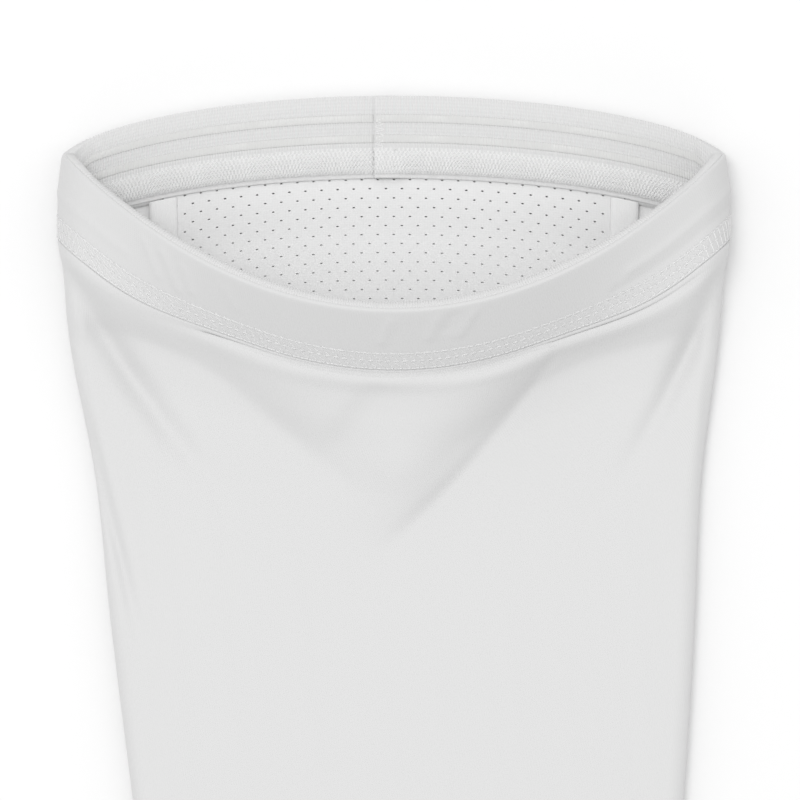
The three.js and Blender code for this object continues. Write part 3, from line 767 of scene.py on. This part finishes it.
def pressed(turn):
    """Share of its thickness that the elastic keeps: the tack presses its lapped ends flat."""
    late, early = turn > RIGHT_BACK, turn < BACK_MIDDLE + JOIN_REACH
    x = back_x(np.where(late, turn - ONCE_ROUND, turn), 0.0)
    at_end, at_start = ease((ramp_foot - x) / LAP_RAMP), ease((x - join_left + LAP_RAMP) / LAP_RAMP)
    return mix(1, PRESSED, np.where(late, at_end, at_start) * (late | early))


def elastic_thickness(turn, down):
    """The elastic thins out towards its lower edge, which is sewn down."""
    near_edge = ease((down - elastic_end) / EDGE_TAPER + 1)
    return ELASTIC_THICKNESS * pressed(turn) * (1 - EDGE_THINNING * near_edge)


def even_turns(start, end, down, spacing, offset):
    """Turns at even distances round the tube, on a layer that lies offset from its outer face."""
    fine = np.linspace(start, end, EVEN_SAMPLES)
    points = sleeve(fine, down) + outward(fine, down) * offset
    gone = np.concatenate([[0], np.cumsum(np.linalg.norm(np.diff(points, axis=0), axis=1))])
    count = int(round(gone[-1] / spacing))
    return np.interp(np.linspace(0, gone[-1], count + 1), gone, fine)


PICK_PITCH = 0.0009
CURL_SCALE = 1300.0
SEWN_STEEPNESS = 1500
WEAVE_DEPTH = 0.00009
WEAVE_ROUGHNESS = 0.75
# how deep the painted shade goes in the elastic's grooves
RIB_SHADE = 0.55


def rib_relief(start):
    across, along = round_and_along(start)
    sewn = start.maths("MINIMUM", start.maths("MAXIMUM", (along - RIBBED_TO) * SEWN_STEEPNESS, 0.0), 1.0)
    weave = across.wave(RIB_PITCH) * 0.5 + along.wave(PICK_PITCH) * 0.3
    return weave * (1 - sewn * 0.8) + speckle(start, CURL_SCALE, 1.0) * sewn


# painted shade in the grooves between the elastic's ribs, and among the looper curls where it is sewn; the
# curls' noise also varies its tone at random
def rib_shade(height):
    return (1 - height) * RIB_SHADE


elastic_cloth = cloth_material(
    "elastic_weave", ELASTIC_WHITE, WEAVE_ROUGHNESS, rib_relief, WEAVE_DEPTH, sheen=0.05, shade=rib_shade
)

start_turn = float(back_turn(join_right, np.array(0.0)))
end_turn = float(back_turn(join_left, np.array(0.0))) + ONCE_ROUND
elastic_turns = even_turns(start_turn, end_turn, MEASURED_AT, RIB_PITCH / SAMPLES_PER_RIB, elastic_in)
rib = np.cos(2 * math.pi * np.arange(len(elastic_turns)) / SAMPLES_PER_RIB)
EDGE_ROUNDING = 0.00012
TOP_RUN = 0.004
TOP_RIB_SHARE = 0.6
RIB_FADE = 0.001
elastic_downs = np.concatenate([
    [-ELASTIC_PROUD, -ELASTIC_PROUD + EDGE_ROUNDING, 0.0, 0.001, 0.002],
    [0.005, 0.009, RIBBED_TO, RIBBED_TO + RIB_FADE, elastic_end - 0.002],
    [elastic_end - 0.001, elastic_end],
])
rounding = np.zeros(len(elastic_downs))
rounding[[0, -1]] = EDGE_ROUNDING
shift = lap_shift(elastic_turns[None, :], elastic_downs[:, None])
thickness = elastic_thickness(elastic_turns[None, :], elastic_downs[:, None])
top_share = (1 - ease((elastic_downs + ELASTIC_PROUD) / TOP_RUN))[:, None]
lean = (elastic_out - EDGE_SINK) * top_share
thin = EDGE_THINNED * top_share
top_ribs = -TOP_RIB_SHARE * RIB_HEIGHT * rib[None, :] * (elastic_downs < 0.0)[:, None]
ribbed = RIB_HEIGHT / 2 * rib[None, :] * ease((RIBBED_TO + RIB_FADE - elastic_downs) / RIB_FADE)[:, None]
elastic = band(
    "grip_band_elastic",
    elastic_turns,
    elastic_downs[:, None] + top_ribs,
    elastic_out - lean - rounding[:, None] - shift,
    elastic_out - thickness + thin + rounding[:, None] - shift + ribbed,
    elastic_cloth,
    round_it=np.arange(len(elastic_turns)) * RIB_PITCH / SAMPLES_PER_RIB,
)
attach(elastic, "root")
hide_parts("grip_band")

# Silicone lines: two lines of clear silicone printed along the elastic so that it grips the skin. They
# are thin and smooth, thickest along their middles, and catch the light here and there.
SILICONE_WIDTH = 0.0021
SILICONE_THICKNESS = 0.0005
SILICONE_FILM = 0.00009
SILICONE_MIDDLES = {"silicone_line_upper": 0.0056, "silicone_line_lower": 0.0106}
SILICONE_GREY = (0.61, 0.61, 0.605, 1)
SILICONE_SPECULAR = 0.5
SILICONE_COLUMNS = 7
SILICONE_THINNED = 0.7
END_MARGIN = 0.0005
RIB_SHOWN = 0.6
PATCH_SCALE = 120.0
PATCH_DEPTH = 0.0002
MATT, GLOSSY = (0.55, 0.55, 0.55, 1), (0.22, 0.22, 0.22, 1)


def silicone_material():
    material = bpy.data.materials.new("printed_silicone")
    material.use_nodes = True
    tree = material.node_tree
    surface = tree.nodes["Principled BSDF"]
    surface.inputs["Base Color"].default_value = SILICONE_GREY
    surface.inputs["Specular IOR Level"].default_value = SILICONE_SPECULAR
    start = Socket(tree)
    patches = speckle(start, PATCH_SCALE, 1.0)
    ramp = start.node("ShaderNodeValToRGB", {"stops": [(0.45, MATT), (0.6, GLOSSY)]}, {"Fac": patches})
    tree.links.new(ramp.output, surface.inputs["Roughness"])
    bump = start.node("ShaderNodeBump", {}, {"Strength": 1.0, "Distance": PATCH_DEPTH, "Height": patches})
    tree.links.new(bump.output, surface.inputs["Normal"])
    return material


silicone = silicone_material()
print_ends = [end_turn - ONCE_ROUND + END_MARGIN, end_turn - END_MARGIN]
first, last = np.searchsorted(elastic_turns, print_ends)
silicone_turns = elastic_turns[first:last]
section_shares = np.linspace(-0.5, 0.5, SILICONE_COLUMNS)
profile = 1 - SILICONE_THINNED * np.abs(2 * section_shares) ** 2
for name, middle in SILICONE_MIDDLES.items():
    downs = middle - ELASTIC_PROUD + section_shares * SILICONE_WIDTH
    shift = lap_shift(silicone_turns[None, :], downs[:, None])
    face = elastic_out - ELASTIC_THICKNESS * pressed(silicone_turns)[None, :] - shift
    film = SILICONE_FILM * profile[:, None] - RIB_SHOWN * RIB_HEIGHT / 2 * rib[None, first:last]
    line = band(name + "_print", silicone_turns, downs, face + SILICONE_THICKNESS, face - film, silicone)
    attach(line, "root")
    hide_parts(name)

# Coverstitch: three needle rows with a cover thread laid between them on the outside, and the looper
# threads' curls on the inside, in bulky polyester thread. It holds the hem, the panels and the elastic.
THREAD_WHITE = (0.84, 0.84, 0.84, 1)
LOOPER_WHITE = (0.82, 0.82, 0.82, 1)
THREAD_RADIUS = 0.0002
COVER_RADIUS = 0.00014
STITCH = 0.0021
TUBE_SIDES = 5
TWIST_PITCH = 0.0004
TWIST_DEPTH = 0.00004
NEEDLE_SHOWN = 0.7
FIRST_NEEDLE = {"shown": 0.95, "slant": 0.0003}
NEEDLE_ARCH = 2.0
NEEDLE_SUNK = 1.7
COVER_SUNK = 0.00008
COVER_SWELL = 0.00005
CURL_SHARE = 0.35


def thread_relief(start):
    across, along = round_and_along(start)
    return (across + along).wave(TWIST_PITCH)


thread_cloth = cloth_material("sewing_thread", THREAD_WHITE, 0.6, thread_relief, TWIST_DEPTH, sheen=0.1)
looper_cloth = cloth_material("looper_thread", LOOPER_WHITE, 0.7, thread_relief, TWIST_DEPTH, sheen=0.1)


def thread(name, turns, downs, heights, radius=THREAD_RADIUS, closed=True, cloth=thread_cloth):
    """A tube of thread over the tube's face, through turns and downs at heights off the face."""
    normal = outward(turns, downs)
    middle = sleeve(turns, downs) + normal * heights[:, None]
    ahead = np.roll(middle, -1, 0) - np.roll(middle, 1, 0)
    if not closed:
        ahead[0], ahead[-1] = middle[1] - middle[0], middle[-1] - middle[-2]
    ahead /= np.linalg.norm(ahead, axis=1, keepdims=True)
    aside = np.cross(ahead, normal)
    aside /= np.linalg.norm(aside, axis=1, keepdims=True)
    up = np.cross(aside, ahead)
    angles = np.arange(TUBE_SIDES) * 2 * math.pi / TUBE_SIDES
    ring = np.cos(angles)[None, :, None] * up[:, None] + np.sin(angles)[None, :, None] * aside[:, None]
    points = middle[:, None] + radius * ring
    gone = np.concatenate([[0], np.cumsum(np.linalg.norm(np.diff(middle, axis=0), axis=1))])
    lengths = np.stack(np.broadcast_arrays(gone[:, None], angles[None, :] * radius), -1)
    number = np.arange(points.shape[0] * TUBE_SIDES).reshape(-1, TUBE_SIDES)
    if closed:
        number = np.concatenate([number, number[:1]])
    turned = np.roll(number, -1, 1)
    faces = np.stack([number[:-1], number[1:], turned[1:], turned[:-1]], -1).reshape(-1, 4).tolist()
    if not closed:
        faces += [number[0].tolist(), number[-1][::-1].tolist()]
    made = object_from(name, points, faces, cloth, lengths)
    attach(made, "root")
    return made


def stitch_places(down, stitch, base, samples):
    """Places counted in stitches, with so many to a stitch, their turns, and one stitch's share."""
    stitches = even_turns(BACK_MIDDLE, BACK_MIDDLE + ONCE_ROUND, down, stitch, base)
    count = len(stitches) - 1
    place = np.arange(count * samples) / samples
    return place, np.interp(place, np.arange(count + 1), stitches), stitches[1] - stitches[0]


def needle_row(name, down, base, shown=NEEDLE_SHOWN, slant=0.0, samples=10):
    """A row of stitches that show over part of their length and dip into the cloth between."""
    place, turns, _ = stitch_places(down, STITCH, base, samples)
    part = np.mod(place, 1)
    hump = np.sin(math.pi * np.minimum(part / shown, 1)) ** 0.5
    heights = base + THREAD_RADIUS * (NEEDLE_ARCH * hump - NEEDLE_SUNK)
    return thread(name, turns, down + slant * (part - 0.5), heights)


def elastic_face(turns, downs):
    """Where the elastic's inner face lies, also over its lapped ends."""
    top = np.where(turns + ONCE_ROUND < end_turn, turns + ONCE_ROUND, turns)
    return elastic_out - elastic_thickness(top, downs) - lap_shift(top, downs)


def curled(place, phase, stitch_turn):
    """How far a thread runs ahead or stays behind as it swings, so that it bends round its ends."""
    return CURL_SHARE * stitch_turn * np.sin(4 * math.pi * (place + phase))


def cover_thread(name, low, high, phase):
    """A thread laid on the hem's outer face that swings between two needle rows."""
    middle, base = (low + high) / 2, HEM_OUT - COVER_SUNK
    place, turns, stitch_turn = stitch_places(middle, STITCH, base, 12)
    turned = 2 * math.pi * (place + phase)
    downs = middle + (high - low) / 2 * np.sin(turned)
    heights = base + COVER_SWELL * np.cos(turned)
    return thread(name, turns + curled(place, phase, stitch_turn), downs, heights, COVER_RADIUS)


needle_row("needle_row_1", NEEDLE_DOWNS[0], HEM_OUT, **FIRST_NEEDLE)
needle_row("needle_row_2", NEEDLE_DOWNS[1], HEM_OUT)
needle_row("needle_row_3", NEEDLE_DOWNS[2], HEM_OUT)
for i, (low, high) in enumerate(zip(NEEDLE_DOWNS[:-1], NEEDLE_DOWNS[1:])):
    cover_thread(f"cover_thread_{i + 1}", low, high, 0.5 * i)

LOOPER_DOWNS = (0.0127, 0.0139, 0.0151, 0.0163, 0.0174)
LOOPER_SWING = 0.0008
LOOPER_RADIUS = 0.00015
LOOPER_SWELL = -0.00005
CURLS_PER_STITCH = 2.0
CURLS_ADDED = 0.17
PHASE_ADDED = 0.37


def looper_thread(name, down, curls_per_stitch, phase):
    """A thread that curls along the elastic's inner face, to both sides of one length down."""
    place, turns, stitch_turn = stitch_places(down, STITCH / curls_per_stitch, elastic_in, 10)
    turned = 2 * math.pi * (place + phase)
    turns = turns + curled(place, phase, stitch_turn)
    downs = down + LOOPER_SWING * np.sin(turned)
    heights = elastic_face(turns, downs) + LOOPER_SWELL * np.cos(turned)
    return thread(name, turns, downs, heights, LOOPER_RADIUS, cloth=looper_cloth)


for i, down in enumerate(LOOPER_DOWNS):
    looper_thread(f"looper_thread_{i + 1}", down, CURLS_PER_STITCH + CURLS_ADDED * i, PHASE_ADDED * i)

TACK_START, TACK_SHORT = 0.0045, 0.003
TACK_INSET, TACK_SWING, TACK_PITCH = 0.0012, 0.001, 0.0014
TACK_PROUD, TACK_RADIUS = 0.00002, 0.00011
TACK_STEPS = 240
tack_downs = np.linspace(TACK_START, elastic_end - TACK_SHORT, TACK_STEPS)
tack_x = join_left + TACK_INSET + TACK_SWING * np.sin(tack_downs * 2 * math.pi / TACK_PITCH)
tack_turns = back_turn(tack_x, tack_downs) + ONCE_ROUND
tack_heights = elastic_face(tack_turns, tack_downs) + TACK_PROUD
thread("elastic_tack", tack_turns, tack_downs, tack_heights, TACK_RADIUS, closed=False, cloth=looper_cloth)

# Ankle hem: a plain turned hem at the narrow end, with the same coverstitch.
ANKLE_LAP_ROWS, ANKLE_PLAIN_ROWS = 14, 8
ANKLE_COLUMNS = {"back_columns": 50, "side_columns": 20, "front_columns": 120}
ANKLE_NEEDLE_PLACES = (0.0005, 0.0053)
over_down = TUBE - ANKLE_HEM_DEPTH
ankle_under = over_down + HEM_LAP
ankle_rows = ANKLE_LAP_ROWS + ANKLE_PLAIN_ROWS
ankle_downs = np.concatenate([
    np.linspace(over_down, ankle_under, ANKLE_LAP_ROWS),
    np.linspace(ankle_under + PLY_STEP, TUBE - nose[-1], ANKLE_PLAIN_ROWS),
    TUBE + nose[0] - nose[::-1][1:],
])
ankle_out = np.concatenate([np.full(ankle_rows, HEM_OUT), nose_out[::-1][1:]])[:, None]
ankle_lap, ankle_plain = np.full(ANKLE_LAP_ROWS, GAP), np.full(ANKLE_PLAIN_ROWS, -CLOTH)
ankle_in = np.concatenate([ankle_lap, ankle_plain, nose_in[::-1][1:]])[:, None]
ankle_turns = whole_round(**ANKLE_COLUMNS)
ankle_hem = band(
    "ankle_hem_turning", ankle_turns, ankle_downs, ankle_out, ankle_in, shell_doubled, ring=True
)
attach(ankle_hem, "root")
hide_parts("ankle_hem")
ankle_needles = [over_down + place for place in ANKLE_NEEDLE_PLACES]
for i, down in enumerate(ankle_needles):
    needle_row(f"ankle_needle_row_{i + 1}", down, HEM_OUT)
for i in range(2):
    cover_thread(f"ankle_cover_thread_{i + 1}", *ankle_needles, 0.5 * i)

# Studio: a plain white floor under a wide soft light from above, brighter from the mouth's left.
FLOOR_SIZE = 6.0
FLOOR_WHITE = (0.81, 0.81, 0.81, 1)
FLOOR_ROUGHNESS = 0.9
ROOM_STRENGTH = 0.9
LIGHT_PLACE = (-0.28, 0.5, 1.88)
LIGHT_AIM = (0, 0.05, 0)
LIGHT_SIZE = 0.8
LIGHT_POWER = 14.5
floor_material = bpy.data.materials.new("white_floor")
floor_material.use_nodes = True
floor_surface = floor_material.node_tree.nodes["Principled BSDF"]
floor_surface.inputs["Base Color"].default_value = FLOOR_WHITE
floor_surface.inputs["Roughness"].default_value = FLOOR_ROUGHNESS
floor_points = np.array([(-1, -1, 0), (1, -1, 0), (1, 1, 0), (-1, 1, 0)]) * FLOOR_SIZE / 2
floor = object_from("floor", floor_points, [[0, 1, 2, 3]], floor_material)

world = bpy.data.worlds.new("studio")
bpy.context.scene.world = world
world.use_nodes = True
background = world.node_tree.nodes["Background"]
background.inputs["Color"].default_value = (1, 1, 1, 1)
background.inputs["Strength"].default_value = ROOM_STRENGTH


def soft_light(name, place, aim, size, power):
    data = bpy.data.lights.new(name, "AREA")
    data.shape, data.size, data.energy = "SQUARE", size, power
    light = bpy.data.objects.new(name, data)
    bpy.context.collection.objects.link(light)
    light.location = place
    direction = np.array(aim) - np.array(place)
    light.rotation_euler = mathutils.Vector(direction).to_track_quat("-Z", "Y").to_euler()


soft_light("key", LIGHT_PLACE, LIGHT_AIM, LIGHT_SIZE, LIGHT_POWER)
